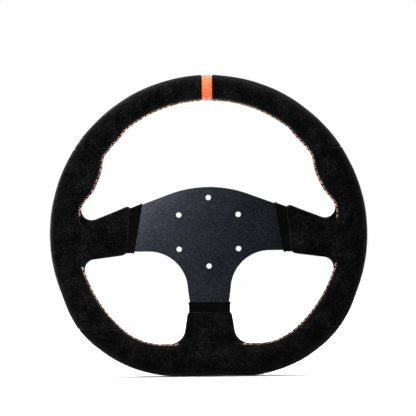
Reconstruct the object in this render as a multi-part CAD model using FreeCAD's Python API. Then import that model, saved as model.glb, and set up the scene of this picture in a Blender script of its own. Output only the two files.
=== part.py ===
import FreeCAD, Part
import math
import os

# Three-spoke, flat-bottomed racing steering wheel, wrapped in suede over a foam-covered hoop.
# Millimetres. X is the driver's right, Z is up to the centre marker, and the driver sits at -Y.
# The origin is the centre of the bolt circle, on the plate's rear face, where the hub seats.

os.makedirs("parts", exist_ok=True)
V = FreeCAD.Vector
FRONT = V(0, -1, 0)
REAR = V(0, 1, 0)
TOLERANCE = 0.01
MIRROR_POINT = V(0, 0, 0)
MIRROR_NORMAL = V(1, 0, 0)

# ---------------------------------------------------------------- driving dimensions
PLATE_THICK = 4.0
MID_Y = -PLATE_THICK / 2            # middle plane of plate and rim
BOLT_CIRCLE_R = 35.0
BOLT_HOLE_R = 2.75
BOLT_COUNT = 6

RIM_HALF_DEPTH = 15.0
SUEDE_THICK = 1.2
# the rim's outlines are chains of circles: centre x, centre z, radius
OUTER_MAIN = (0.0, -1.9, 162.0)
OUTER_CORNER = (34.6, -26.0, 121.3)
INNER_MAIN = (0.0, 0.9, 133.0)
INNER_CORNER = (47.9, -54.2, 60.0)
# swellings of the rim's inner edge: height, angle above +X, half-width, sharpness
THUMB_GRIP = (9.2, 24.6, 10.3, 3.0)
UPPER_GRIP = (2.1, 43.5, 6.5, 4.0)
SPOKE_SWELL = (2.8, 3.0, 7.0, 4.0)
SECTION_STEP_DEG = 4
RING_JOIN_DEG = -30
SECTION_POINTS = 12

TOP_SEAM_Z = 86.0
LOW_SEAM_Z = -98.0
MARKER_HALF = 5.6

STITCH_PHASE_DEG = 200.0            # round the rim's section, from outermost towards the driver
STITCH_HALF_WIDTH = 2.4
STITCH_HALF_HEIGHT = 0.8
UPPER_STITCH_DEG = (12, 44, 90)     # from the side spoke to the marker, lofted in two lengths
LOWER_STITCH_DEG = (-74, -19)       # from the bottom spoke to the side spoke

HOOP_R = 5.0
HOOP_WALL = 1.5
HOOP_DEPTH = 13.0                   # hoop's centre line inside the rim's outer edge

EMBED_STEP = 0.5                    # the plate's covered ends are thinner by this on each face
BAND_PROUD = 1.2                    # the lip stands this far off the plate
COVER_PROUD = 3.5                   # and the suede sleeve this far
COVER_RIM_PROUD = 7.0               # where the sleeve runs into the rim
LIP_FOLD = 1.5
COVER_EDGE_R = 3.5                  # rounding of the sleeve's long edges
PAD_EDGE_R = 2.5                    # and of the foam's under it
JOINT_HALF = 5.4                    # foam round the lug, where arm and rim meet: half-depth
JOINT_X = (129.0, 139.0)
JOINT_Z = (-24.0, 11.5)
BAND_SIDE_ROOM = 0.9                # the bottom lip is wider than the metal by this on each side
BAND_LOW_ROOM = 0.3

LUG_THICK = 3.0
RIVET_R = 2.0
RIVET_HEAD_R = 3.75
RIVET_HEAD_H = 1.8
RIVET_SPACING = 14.0
SIDE_RIVET_X = 137.0
SIDE_RIVET_Z = -6.0                 # middle of the pair
BOTTOM_RIVET_Z = -123.5
SIDE_LUG_X = (131.0, 147.0)
SIDE_LUG_Z = (-20.0, 8.0)
BOTTOM_LUG_HALF = 15.0
BOTTOM_LUG_Z = (-133.0, -118.0)

# plate outline
HUB_TOP_Z = 45.8
HUB_TOP_R = 116.0
ARM_TOP_X = 40.3                    # the top arc turns into the arm's straight edge here
ARM_BOTTOM_Z = -19.4
ARMPIT_R = 40.0
ARMPIT_X = 61.8
BARE_TOP_X = 67.6                   # the bare metal ends on a slanted line
BARE_BOTTOM_X = 75.9
BOTTOM_ARM_HALF = 20.2
BOTTOM_BARE_Z = -71.8
PLATE_CHAMFER = 0.4

# covered end of each side arm
TONGUE_INSET = 1.5
TONGUE_KNEE = (112.0, 9.0)
TONGUE_TOP = (120.0, 5.5)
SIDE_TIP_X = 142.0
BOTTOM_TONGUE_HALF = 14.0
BOTTOM_TIP_Z = -129.0

# suede sleeve of a side arm
SIDE_LIP_TOP = (79.4, 28.3)
SIDE_LIP_BOTTOM = (84.4, -21.7)
SIDE_TOP_FILLET = (118.6, 24.7, 11.2)
SIDE_LOW_FILLET = (116.0, -37.3, 10.8)
SIDE_LOW_JOIN_DEG = 97              # the lower edge meets its fillet here
SIDE_LOW_END_DEG = -15              # and the fillet ends here, inside the rim
SIDE_TOP_SLOPE = 0.40
SIDE_LOW_KNEE = (88.6, -23.2)
SIDE_END_X = 139.0
# suede sleeve of the bottom arm
BOTTOM_LIP_Z = -82.0
BOTTOM_LIP_HALF = 22.3
BOTTOM_COVER_KNEE = (23.7, -90.0)
BOTTOM_FILLET = (41.2, -98.8, 16.0)
BOTTOM_END_Z = -121.0
CUT_MARGIN = 1.0                    # cutting shapes overshoot by this
LIP_REACH = 8.5                     # a sleeve's lip lies within this of the start of its taper
BURIED_REACH = 2.5                  # and its buried end within this of the taper's end

arm_top_slope = ARM_TOP_X / math.sqrt(HUB_TOP_R**2 - ARM_TOP_X**2)
hub_top_centre_z = HUB_TOP_Z - HUB_TOP_R
arm_top_z = hub_top_centre_z + math.sqrt(HUB_TOP_R**2 - ARM_TOP_X**2)
armpit_z = ARM_BOTTOM_Z - ARMPIT_R


# ---------------------------------------------------------------- helpers
def point(x, z, y=0.0):
    return V(x, y, z)


def mirrored(shape):
    return shape.mirror(MIRROR_POINT, MIRROR_NORMAL)


def segment(start, end):
    return Part.LineSegment(start, end).toShape()


def arc(start, middle, end):
    return Part.Arc(start, middle, end).toShape()


def on_circle(circle, degrees):
    """A point of a circle (centre x, centre z, radius) at an angle from +X towards +Z."""
    cx, cz, r = circle
    a = math.radians(degrees)
    return point(cx + r * math.cos(a), cz + r * math.sin(a))


def prism(edges, y_low, y_high):
    """The solid between two depths over a closed outline drawn in the plane Y = 0."""
    face = Part.Face(Part.Wire(Part.__sortEdges__(edges)))
    face.translate(V(0, y_low, 0))
    return face.extrude(V(0, y_high - y_low, 0))


def polygon_prism(corners, y_low, y_high):
    points = [point(x, z) for x, z in corners]
    edges = [segment(a, b) for a, b in zip(points, points[1:] + points[:1])]
    return prism(edges, y_low, y_high)


def box(x_low, x_high, y_low, y_high, z_low, z_high):
    return Part.makeBox(x_high - x_low, y_high - y_low, z_high - z_low, V(x_low, y_low, z_low))


def one_solid(shape):
    """The largest solid of a boolean's result."""
    return max(shape.Solids, key=lambda solid: solid.Volume)


# ---------------------------------------------------------------- rim outline and section
def tangent_angle(main, corner):
    """Angle of the normal at which the side circle hands over to the corner circle, in degrees."""
    dx, dz = corner[0] - main[0], corner[1] - main[1]
    distance = math.hypot(dx, dz)
    swing = math.degrees(math.acos(min(1.0, (main[2] - corner[2]) / distance)))
    return math.degrees(math.atan2(dz, dx)) + swing


def circle_reach(circle, a):
    """Distance from the origin to the far side of a circle, in direction a (radians)."""
    cx, cz, r = circle
    along = cx * math.cos(a) + cz * math.sin(a)
    return along + math.sqrt(along**2 - cx**2 - cz**2 + r**2)


def outline_reach(degrees, main, corner):
    """Distance from the origin to a D-shaped outline, at an angle from -90 to 90 on the right."""
    a = math.radians(degrees)
    normal = tangent_angle(main, corner)
    leaves_main = on_circle(main, normal)
    joins_corner = on_circle(corner, normal)
    flat_starts = point(corner[0], corner[1] - corner[2])
    if a >= math.atan2(leaves_main.z, leaves_main.x):
        return circle_reach(main, a)
    if a >= math.atan2(joins_corner.z, joins_corner.x):
        n = math.radians(normal)
        distance = leaves_main.x * math.cos(n) + leaves_main.z * math.sin(n)
        return distance / math.cos(a - n)
    if a >= math.atan2(flat_starts.z, flat_starts.x):
        return circle_reach(corner, a)
    return flat_starts.z / math.sin(a)


def swelling(degrees, place):
    height, centre, half_width, sharpness = place
    return height * math.exp(-abs((degrees - centre) / half_width) ** sharpness)


def rim_reaches(degrees):
    """Inner and outer distance of the rim from the origin, on the right-hand half."""
    outer = outline_reach(degrees, OUTER_MAIN, OUTER_CORNER)
    inner = outline_reach(degrees, INNER_MAIN, INNER_CORNER)
    inner -= sum(swelling(degrees, place) for place in (THUMB_GRIP, UPPER_GRIP, SPOKE_SWELL))
    return inner, outer


def section_wire(degrees, inset):
    """Oval section of the rim in the half-plane through the Y axis at this angle."""
    inner, outer = rim_reaches(degrees)
    middle = (inner + outer) / 2
    half_width = (outer - inner) / 2 - inset
    half_depth = RIM_HALF_DEPTH - inset
    return oval_wire(degrees, middle, MID_Y, (half_width, 0.0), (0.0, half_depth))


def oval_wire(degrees, middle, y, first, second):
    """Closed smooth oval round (middle, y), with its half-axes given as (outward, Y) pairs."""
    a = math.radians(degrees)
    points = []
    for i in range(SECTION_POINTS):
        turn = 2 * math.pi * i / SECTION_POINTS
        out = middle + first[0] * math.cos(turn) + second[0] * math.sin(turn)
        depth = y + first[1] * math.cos(turn) + second[1] * math.sin(turn)
        points.append(V(out * math.cos(a), depth, out * math.sin(a)))
    curve = Part.BSplineCurve()
    curve.interpolate(Points=points, PeriodicFlag=True, Parameters=list(range(SECTION_POINTS + 1)))
    return Part.Wire(curve.toShape())


def half_ring(inset):
    """Right-hand half of the rim as a solid, drawn in by an inset, from a lower and an upper loft."""
    lower_angles = range(-90, RING_JOIN_DEG + 1, SECTION_STEP_DEG)
    upper_angles = range(RING_JOIN_DEG, 91, SECTION_STEP_DEG)
    lower = Part.makeLoft([section_wire(a, inset) for a in lower_angles], True, False)
    upper = Part.makeLoft([section_wire(a, inset) for a in upper_angles], True, False)
    return one_solid(lower.fuse(upper))


def stitch_run(stops):
    """Flattened thread bead along the rim's inner edge, lofted from stop to stop."""
    lengths = [stitch_length(low, high) for low, high in zip(stops, stops[1:])]
    return one_solid(lengths[0].fuse(lengths[1:])) if len(lengths) > 1 else lengths[0]


def stitch_length(low_deg, high_deg):
    """One loft of a thread bead, half sunk in the suede."""
    phase = math.radians(STITCH_PHASE_DEG)
    wires = []
    count = max(3, round((high_deg - low_deg) / SECTION_STEP_DEG) + 1)
    for i in range(count):
        degrees = low_deg + (high_deg - low_deg) * i / (count - 1)
        inner, outer = rim_reaches(degrees)
        half_width = (outer - inner) / 2
        seat = (half_width * math.cos(phase), RIM_HALF_DEPTH * math.sin(phase))
        along = (-half_width * math.sin(phase), RIM_HALF_DEPTH * math.cos(phase))
        length = math.hypot(*along)
        wide = tuple(STITCH_HALF_WIDTH * value / length for value in along)
        high = (STITCH_HALF_HEIGHT * along[1] / length, -STITCH_HALF_HEIGHT * along[0] / length)
        middle = (inner + outer) / 2 + seat[0]
        wires.append(oval_wire(degrees, middle, MID_Y + seat[1], wide, high))
    return Part.makeLoft(wires, True, False)


# ---------------------------------------------------------------- metal frame
def bare_line_x(z):
    """X of the slanted line where the right arm's bare metal ends."""
    top_z = arm_top_z - arm_top_slope * (BARE_TOP_X - ARM_TOP_X)
    share = (top_z - z) / (top_z - ARM_BOTTOM_Z)
    return BARE_TOP_X + share * (BARE_BOTTOM_X - BARE_TOP_X)


def bare_plate():
    top_z = arm_top_z - arm_top_slope * (BARE_TOP_X - ARM_TOP_X)
    armpit = (ARMPIT_X, armpit_z, ARMPIT_R)
    right = [
        segment(point(ARM_TOP_X, arm_top_z), point(BARE_TOP_X, top_z)),
        segment(point(BARE_TOP_X, top_z), point(BARE_BOTTOM_X, ARM_BOTTOM_Z)),
        segment(point(BARE_BOTTOM_X, ARM_BOTTOM_Z), on_circle(armpit, 90)),
        arc(on_circle(armpit, 90), on_circle(armpit, 135), on_circle(armpit, 180)),
        segment(on_circle(armpit, 180), point(BOTTOM_ARM_HALF, BOTTOM_BARE_Z)),
    ]
    crown = arc(point(-ARM_TOP_X, arm_top_z), point(0, HUB_TOP_Z), point(ARM_TOP_X, arm_top_z))
    foot = segment(point(-BOTTOM_ARM_HALF, BOTTOM_BARE_Z), point(BOTTOM_ARM_HALF, BOTTOM_BARE_Z))
    edges = right + [mirrored(edge) for edge in right] + [crown, foot]
    plate = prism(edges, -PLATE_THICK, 0)
    return plate.makeChamfer(PLATE_CHAMFER, [edge for edge in plate.Edges if is_outline(edge)])


def is_outline(edge):
    """True for an edge round the bare metal's faces, except where the lips cover it."""
    start, end = edge.Vertexes[0].Point, edge.Vertexes[-1].Point
    if abs(start.y - end.y) > TOLERANCE:
        return False
    if abs(start.z - BOTTOM_BARE_Z) < TOLERANCE and abs(end.z - BOTTOM_BARE_Z) < TOLERANCE:
        return False
    return min(abs(start.x), abs(end.x)) < BARE_TOP_X - TOLERANCE


def side_tongue():
    """Thinner end of the right arm, inside the sleeve and the foam."""
    top_z = arm_top_z - arm_top_slope * (BARE_TOP_X - ARM_TOP_X) - TONGUE_INSET
    low_z = ARM_BOTTOM_Z + TONGUE_INSET
    corners = [
        (bare_line_x(top_z), top_z),
        TONGUE_KNEE,
        TONGUE_TOP,
        (SIDE_TIP_X, TONGUE_TOP[1]),
        (SIDE_TIP_X, low_z),
        (bare_line_x(low_z), low_z),
    ]
    return polygon_prism(corners, -PLATE_THICK + EMBED_STEP, -EMBED_STEP)


def bottom_tongue():
    wide = BOTTOM_ARM_HALF - TONGUE_INSET
    narrow = BOTTOM_TONGUE_HALF
    corners = [
        (-wide, BOTTOM_BARE_Z),
        (-narrow, BOTTOM_END_Z),
        (-narrow, BOTTOM_TIP_Z),
        (narrow, BOTTOM_TIP_Z),
        (narrow, BOTTOM_END_Z),
        (wide, BOTTOM_BARE_Z),
    ]
    return polygon_prism(corners, -PLATE_THICK + EMBED_STEP, -EMBED_STEP)


def rivet_places(spoke):
    """Centres (x, z) of the two rivets of a spoke."""
    half = RIVET_SPACING / 2
    if spoke == "bottom":
        return [(-half, BOTTOM_RIVET_Z), (half, BOTTOM_RIVET_Z)]
    x = SIDE_RIVET_X if spoke == "right" else -SIDE_RIVET_X
    return [(x, SIDE_RIVET_Z - half), (x, SIDE_RIVET_Z + half)]


def rivet_hole(x, z):
    return Part.makeCylinder(RIVET_R, 3 * PLATE_THICK, V(x, -2 * PLATE_THICK, z), REAR)


def rivet(x, z):
    """Shank through tip and lug, with a domed head at each end."""
    front_y = -PLATE_THICK + EMBED_STEP
    rear_y = -EMBED_STEP + LUG_THICK
    shank = Part.makeCylinder(RIVET_R, rear_y - front_y, V(x, front_y, z), REAR)
    dome_r = (RIVET_HEAD_R**2 + RIVET_HEAD_H**2) / (2 * RIVET_HEAD_H)
    front = Part.makeSphere(dome_r, V(x, front_y + dome_r - RIVET_HEAD_H, z))
    front = front.common(Part.makeCylinder(RIVET_HEAD_R, RIVET_HEAD_H, V(x, front_y, z), FRONT))
    rear = Part.makeSphere(dome_r, V(x, rear_y - dome_r + RIVET_HEAD_H, z))
    rear = rear.common(Part.makeCylinder(RIVET_HEAD_R, RIVET_HEAD_H, V(x, rear_y, z), REAR))
    return one_solid(shank.fuse([front, rear]).removeSplitter())


def hoop_path():
    """Centre line of the hoop: the rim's outer outline, moved inwards."""
    main = (OUTER_MAIN[0], OUTER_MAIN[1], OUTER_MAIN[2] - HOOP_DEPTH)
    corner = (OUTER_CORNER[0], OUTER_CORNER[1], OUTER_CORNER[2] - HOOP_DEPTH)
    normal = tangent_angle(main, corner)
    side = on_circle(main, normal)
    shoulder = on_circle(corner, normal)
    flat = on_circle(corner, -90)
    right = [
        segment(side, shoulder),
        arc(shoulder, on_circle(corner, (normal - 90) / 2), flat),
    ]
    top = arc(side, on_circle(main, 90), point(-side.x, side.z))
    floor = segment(flat, point(-flat.x, flat.z))
    edges = [top, right[0], right[1], floor, mirrored(right[1]), mirrored(right[0])]
    path = Part.Wire(Part.__sortEdges__(edges))
    path.translate(V(0, MID_Y, 0))
    return path


def hoop_solid(radius):
    """Round bar of this radius along the hoop's centre line."""
    path = hoop_path()
    start = path.OrderedEdges[0]
    place = start.valueAt(start.FirstParameter)
    along = start.tangentAt(start.FirstParameter)
    ring = Part.Wire(Part.makeCircle(radius, place, along))
    return Part.Wire(path).makePipeShell([ring], True, False)


def lug(spoke):
    y_low = -EMBED_STEP
    y_high = -EMBED_STEP + LUG_THICK
    if spoke == "bottom":
        return box(-BOTTOM_LUG_HALF, BOTTOM_LUG_HALF, y_low, y_high, *BOTTOM_LUG_Z)
    right = box(*SIDE_LUG_X, y_low, y_high, *SIDE_LUG_Z)
    return right if spoke == "right" else mirrored(right)


# ---------------------------------------------------------------- lips and suede sleeves
def side_band():
    """Moulded lip round the right arm, from the bare metal to just inside the sleeve."""
    top_z = arm_top_z - arm_top_slope * (BARE_TOP_X - ARM_TOP_X) + BAND_PROUD
    low_z = ARM_BOTTOM_Z - BAND_PROUD - BAND_LOW_ROOM
    reach = 2 * LIP_FOLD
    corners = [
        (bare_line_x(top_z), top_z),
        (SIDE_LIP_TOP[0] + reach, top_z - arm_top_slope * (SIDE_LIP_TOP[0] + reach - BARE_TOP_X)),
        (SIDE_LIP_BOTTOM[0] + reach, low_z),
        (bare_line_x(low_z), low_z),
    ]
    return polygon_prism(corners, -PLATE_THICK - BAND_PROUD, BAND_PROUD)


def bottom_band():
    half = BOTTOM_ARM_HALF + BAND_SIDE_ROOM
    low_z = BOTTOM_LIP_Z - 2 * LIP_FOLD
    corners = [(-half, low_z), (half, low_z), (half, BOTTOM_BARE_Z), (-half, BOTTOM_BARE_Z)]
    return polygon_prism(corners, -PLATE_THICK - BAND_PROUD, BAND_PROUD)


def tapered(solid, taper, edge_r):
    """Trims a sleeve's full-depth solid to its thickness, and rounds the edges along the arm.

    taper holds the two ends of the arm's centre line, each with half the thickness there.
    """
    (start, start_half), (end, end_half) = taper
    outline = [
        V(start.x, MID_Y - start_half, start.z),
        V(end.x, MID_Y - end_half, end.z),
        V(end.x, MID_Y + end_half, end.z),
        V(start.x, MID_Y + start_half, start.z),
        V(start.x, MID_Y - start_half, start.z),
    ]
    along = (end - start).normalize()
    across = V(along.z, 0, -along.x)
    reach = OUTER_MAIN[2]
    wedge = Part.Face(Part.makePolygon(outline))
    wedge.translate(across * -reach)
    sleeve = one_solid(solid.common(wedge.extrude(across * (2 * reach))))
    lip_ends = along.dot(start) + LIP_REACH
    buried_end = along.dot(end) - BURIED_REACH
    long_edges = [edge for edge in sleeve.Edges if runs_along(edge, along, lip_ends, buried_end)]
    return sleeve.makeFillet(edge_r, long_edges)


def runs_along(edge, along, lip_ends, buried_end):
    """True for an edge of a sleeve's front or rear face, except at its lip and its buried end."""
    start, end = edge.Vertexes[0].Point, edge.Vertexes[-1].Point
    if (start.y - MID_Y) * (end.y - MID_Y) < 0:
        return False
    reached = (along.dot(start), along.dot(end))
    return max(reached) > lip_ends and min(reached) < buried_end


def side_arm_corners(inset):
    """Lip's top and bottom and the lower edge's knee, for a right arm drawn in by an inset."""
    fold = inset * LIP_FOLD / SUEDE_THICK
    slope_deg = math.degrees(math.atan(SIDE_TOP_SLOPE))
    cx, cz, r = SIDE_TOP_FILLET
    tangent = on_circle((cx, cz, r + inset), 270 - slope_deg)
    x = SIDE_LIP_TOP[0] + fold
    top = point(x, tangent.z + SIDE_TOP_SLOPE * (tangent.x - x))
    low = point(SIDE_LIP_BOTTOM[0] + fold, SIDE_LIP_BOTTOM[1] + inset)
    knee = point(SIDE_LOW_KNEE[0] + fold, SIDE_LOW_KNEE[1] + inset)
    return top, tangent, low, knee


def side_sleeve():
    """Right arm's sleeve as a full solid, with its fillets running on into the rim."""
    top, tangent, low, knee = side_arm_corners(0)
    upper, lower = SIDE_TOP_FILLET, SIDE_LOW_FILLET
    high_end = on_circle(upper, 360)
    low_end = on_circle(lower, SIDE_LOW_END_DEG)
    low_start = on_circle(lower, SIDE_LOW_JOIN_DEG)
    edges = [
        segment(top, tangent),
        arc(tangent, on_circle(upper, 315), high_end),
        segment(high_end, point(SIDE_END_X, high_end.z)),
        segment(point(SIDE_END_X, high_end.z), point(SIDE_END_X, low_end.z)),
        segment(point(SIDE_END_X, low_end.z), low_end),
        arc(low_end, on_circle(lower, (SIDE_LOW_END_DEG + SIDE_LOW_JOIN_DEG) / 2), low_start),
        segment(low_start, knee),
        segment(knee, low),
        segment(low, top),
    ]
    solid = prism(edges, -2 * RIM_HALF_DEPTH, 2 * RIM_HALF_DEPTH)
    return tapered(solid, side_taper(0), COVER_EDGE_R)


def side_taper(inset):
    start = point(SIDE_LIP_TOP[0] - CUT_MARGIN, 0)
    end = point(SIDE_END_X + CUT_MARGIN, 0)
    return (
        (start, PLATE_THICK / 2 + COVER_PROUD - inset),
        (end, PLATE_THICK / 2 + COVER_RIM_PROUD - inset),
    )


def side_pad():
    """Foam under the right arm's sleeve, straight-edged, running on into the rim's foam."""
    inset = SUEDE_THICK
    top, tangent, low, knee = side_arm_corners(inset)
    join = on_circle(SIDE_LOW_FILLET, SIDE_LOW_JOIN_DEG)
    lower_slope = (join.z + inset - knee.z) / (join.x - knee.x)
    corners = [
        (top.x, top.z),
        (SIDE_END_X, tangent.z - SIDE_TOP_SLOPE * (SIDE_END_X - tangent.x)),
        (SIDE_END_X, knee.z + lower_slope * (SIDE_END_X - knee.x)),
        (knee.x, knee.z),
        (low.x, low.z),
    ]
    solid = polygon_prism(corners, -2 * RIM_HALF_DEPTH, 2 * RIM_HALF_DEPTH)
    pad = tapered(solid, side_taper(inset), PAD_EDGE_R)
    return one_solid(pad.fuse(box(*JOINT_X, MID_Y - JOINT_HALF, MID_Y + JOINT_HALF, *JOINT_Z)))


def bottom_taper(inset):
    start = point(0, BOTTOM_LIP_Z + CUT_MARGIN)
    end = point(0, BOTTOM_END_Z - 2 * CUT_MARGIN)
    return (
        (start, PLATE_THICK / 2 + COVER_PROUD - inset),
        (end, PLATE_THICK / 2 + COVER_RIM_PROUD - inset),
    )


def bottom_sleeve():
    """Bottom arm's sleeve as a full solid, with its fillets running on into the rim."""
    lip = point(BOTTOM_LIP_HALF, BOTTOM_LIP_Z)
    knee = point(*BOTTOM_COVER_KNEE)
    fillet_start = on_circle(BOTTOM_FILLET, 180)
    fillet_end = on_circle(BOTTOM_FILLET, 270)
    foot = point(fillet_end.x, BOTTOM_END_Z)
    right = [
        segment(lip, knee),
        segment(knee, fillet_start),
        arc(fillet_start, on_circle(BOTTOM_FILLET, 225), fillet_end),
        segment(fillet_end, foot),
    ]
    edges = right + [mirrored(edge) for edge in right]
    edges.append(segment(point(-lip.x, lip.z), lip))
    edges.append(segment(point(-foot.x, foot.z), foot))
    solid = prism(edges, -2 * RIM_HALF_DEPTH, 2 * RIM_HALF_DEPTH)
    return tapered(solid, bottom_taper(0), COVER_EDGE_R)


def bottom_pad():
    """Foam under the bottom arm's sleeve, running on into the rim's foam."""
    inset = SUEDE_THICK
    half = on_circle(BOTTOM_FILLET, 180).x - inset
    right = [
        (BOTTOM_LIP_HALF - inset, BOTTOM_LIP_Z - LIP_FOLD),
        (BOTTOM_COVER_KNEE[0] - inset, BOTTOM_COVER_KNEE[1]),
        (half, BOTTOM_FILLET[1]),
        (half, BOTTOM_END_Z - inset),
    ]
    corners = right + [(-x, z) for x, z in reversed(right)]
    solid = polygon_prism(corners, -2 * RIM_HALF_DEPTH, 2 * RIM_HALF_DEPTH)
    return tapered(solid, bottom_taper(inset), PAD_EDGE_R)


# ---------------------------------------------------------------- assembly
def build_metal():
    plate = bare_plate().fuse([side_tongue(), mirrored(side_tongue()), bottom_tongue()])
    plate = one_solid(plate.removeSplitter())
    holes = []
    for i in range(BOLT_COUNT):
        centre = on_circle((0, 0, BOLT_CIRCLE_R), 90 + 360 * i / BOLT_COUNT)
        centre.y = -PLATE_THICK - CUT_MARGIN
        holes.append(Part.makeCylinder(BOLT_HOLE_R, PLATE_THICK + 2 * CUT_MARGIN, centre, REAR))
    hoop_outside = hoop_solid(HOOP_R)
    metal = {"rim_hoop": hoop_outside.cut(hoop_solid(HOOP_R - HOOP_WALL))}
    for spoke in ("left", "right", "bottom"):
        places = rivet_places(spoke)
        drilled = [rivet_hole(x, z) for x, z in places]
        holes += drilled
        metal["hoop_lug_" + spoke] = one_solid(lug(spoke).cut([hoop_outside] + drilled))
        metal["lug_rivets_" + spoke] = Part.makeCompound([rivet(x, z) for x, z in places])
    metal["spoke_plate"] = one_solid(plate.cut(holes))
    return metal, hoop_outside


def build_soft(metal, hoop_outside):
    right_ring = half_ring(0)
    right_core = half_ring(SUEDE_THICK)
    right_shell = right_ring.cut(right_core)
    big = 2 * OUTER_MAIN[2]
    stitch_right = stitch_run(UPPER_STITCH_DEG)
    stitch_low = stitch_run(LOWER_STITCH_DEG)
    tongues = [side_tongue(), mirrored(side_tongue()), bottom_tongue()]
    pads = {"right": side_pad(), "bottom": bottom_pad()}
    pads["left"] = mirrored(pads["right"])
    sleeves = {"right": side_sleeve(), "bottom": bottom_sleeve()}
    bands = {"right": side_band(), "bottom": bottom_band()}
    soft = {}

    top_zone = box(MARKER_HALF, big, -big, big, TOP_SEAM_Z, big)
    side_zone = box(0, big, -big, big, LOW_SEAM_Z, TOP_SEAM_Z)
    low_zone = box(0, big, -big, big, -big, LOW_SEAM_Z)
    marker_zone = box(0, MARKER_HALF, -big, big, 0, big)
    top = one_solid(right_shell.common(top_zone).cut(stitch_right))
    side = one_solid(right_shell.common(side_zone).cut([pads["right"], stitch_right, stitch_low]))
    low_half = right_shell.common(low_zone).cut([pads["bottom"], stitch_low])
    marker_half = right_shell.common(marker_zone).cut(stitch_right)
    soft["suede_top_right"] = top
    soft["suede_top_left"] = mirrored(top)
    soft["suede_side_right"] = side
    soft["suede_side_left"] = mirrored(side)
    soft["suede_bottom"] = one_solid(low_half.fuse(mirrored(low_half)))
    soft["centre_marker"] = one_solid(marker_half.fuse(mirrored(marker_half)))
    soft["stitch_upper"] = one_solid(stitch_right.fuse(mirrored(stitch_right)))
    soft["stitch_lower_right"] = stitch_low
    soft["stitch_lower_left"] = mirrored(stitch_low)

    right_cover = sleeves["right"].cut([right_ring, pads["right"], bands["right"]])
    soft["spoke_cover_right"] = one_solid(right_cover)
    soft["spoke_cover_left"] = mirrored(soft["spoke_cover_right"])
    both_sides = [right_ring, mirrored(right_ring), stitch_low, mirrored(stitch_low)]
    bottom_cover = sleeves["bottom"].cut(both_sides + [pads["bottom"], bands["bottom"]])
    soft["spoke_cover_bottom"] = one_solid(bottom_cover)
    bare = bare_plate()
    soft["spoke_end_band_right"] = one_solid(bands["right"].cut([bare, tongues[0]]))
    soft["spoke_end_band_left"] = mirrored(soft["spoke_end_band_right"])
    soft["spoke_end_band_bottom"] = one_solid(bands["bottom"].cut([bare, tongues[2]]))

    foam = right_core.fuse(mirrored(right_core))
    foam = foam.fuse([pads["right"], pads["left"], pads["bottom"]])
    inside = [hoop_outside] + tongues + [bands["right"], mirrored(bands["right"]), bands["bottom"]]
    for spoke in ("left", "right", "bottom"):
        inside += [metal["hoop_lug_" + spoke]]
        inside += metal["lug_rivets_" + spoke].Solids
    soft["foam_padding"] = one_solid(foam.cut(inside))
    return soft


metal, hoop_outside = build_metal()
nodes = dict(metal)
nodes.update(build_soft(metal, hoop_outside))
for name, shape in nodes.items():
    shape.exportStep("parts/" + name + ".step")
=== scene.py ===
import math

import bpy
import numpy as np
from mathutils import Matrix, Vector


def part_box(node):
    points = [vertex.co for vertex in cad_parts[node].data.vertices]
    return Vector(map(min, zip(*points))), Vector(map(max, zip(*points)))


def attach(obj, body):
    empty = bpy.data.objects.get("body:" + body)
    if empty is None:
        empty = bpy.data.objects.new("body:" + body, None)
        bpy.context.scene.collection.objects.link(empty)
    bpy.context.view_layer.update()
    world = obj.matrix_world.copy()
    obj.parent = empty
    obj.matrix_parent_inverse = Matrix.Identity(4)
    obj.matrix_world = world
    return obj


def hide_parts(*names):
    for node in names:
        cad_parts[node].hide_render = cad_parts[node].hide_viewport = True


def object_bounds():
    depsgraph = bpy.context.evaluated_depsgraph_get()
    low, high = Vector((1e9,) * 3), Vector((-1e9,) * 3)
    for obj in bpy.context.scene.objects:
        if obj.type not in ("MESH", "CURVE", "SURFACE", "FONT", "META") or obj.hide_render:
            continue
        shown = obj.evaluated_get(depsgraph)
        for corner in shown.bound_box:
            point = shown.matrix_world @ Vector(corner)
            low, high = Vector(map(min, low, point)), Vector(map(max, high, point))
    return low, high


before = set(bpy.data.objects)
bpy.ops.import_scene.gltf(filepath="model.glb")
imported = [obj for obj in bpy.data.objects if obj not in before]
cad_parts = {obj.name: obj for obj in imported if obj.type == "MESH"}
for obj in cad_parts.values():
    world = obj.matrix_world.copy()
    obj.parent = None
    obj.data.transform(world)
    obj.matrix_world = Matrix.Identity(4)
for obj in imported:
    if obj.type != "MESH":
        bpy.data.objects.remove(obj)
cad_low, cad_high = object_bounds()

# Lengths are in millimetres until a mesh is made; MM turns them into metres.
MM = 0.001

# ---------------------------------------------------------------- rim, the same outline as the CAD
plate_low, plate_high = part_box("spoke_plate")
MID_Y = (plate_low.y + plate_high.y) / 2 / MM
HALF_DEPTH = (cad_high.y - cad_low.y) / 2 / MM
# circles of the outlines: centre x, centre z, radius
OUTER_MAIN = (0.0, -1.9, 162.0)
OUTER_CORNER = (34.6, -26.0, 121.3)
INNER_MAIN = (0.0, 0.9, 133.0)
INNER_CORNER = (47.9, -54.2, 60.0)
# swellings of the inner edge: height, angle above +X in degrees, half-width, sharpness
THUMB_GRIP = (9.2, 24.6, 10.3, 3.0)
UPPER_GRIP = (2.1, 43.5, 6.5, 4.0)
SPOKE_SWELL = (2.8, 3.0, 7.0, 4.0)
TOP_SEAM_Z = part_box("suede_top_right")[0].z / MM
LOW_SEAM_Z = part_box("suede_bottom")[1].z / MM
MARKER_LAP = 0.55                   # how far the black suede laps over each edge of the marker
MARKER_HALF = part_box("centre_marker")[1].x / MM - MARKER_LAP
MARKER_SINK = 0.45                  # the marker lies this much lower than the suede beside it

# ---------------------------------------------------------------- padded arms on the spokes
ARM_LIP_HALF = 5.5                  # half the depth of an arm, at its lip and at the rim
ARM_RIM_HALF = 8.6
ARM_EDGE_R = 4.0
LIP_EDGE_R = 1.7
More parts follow.
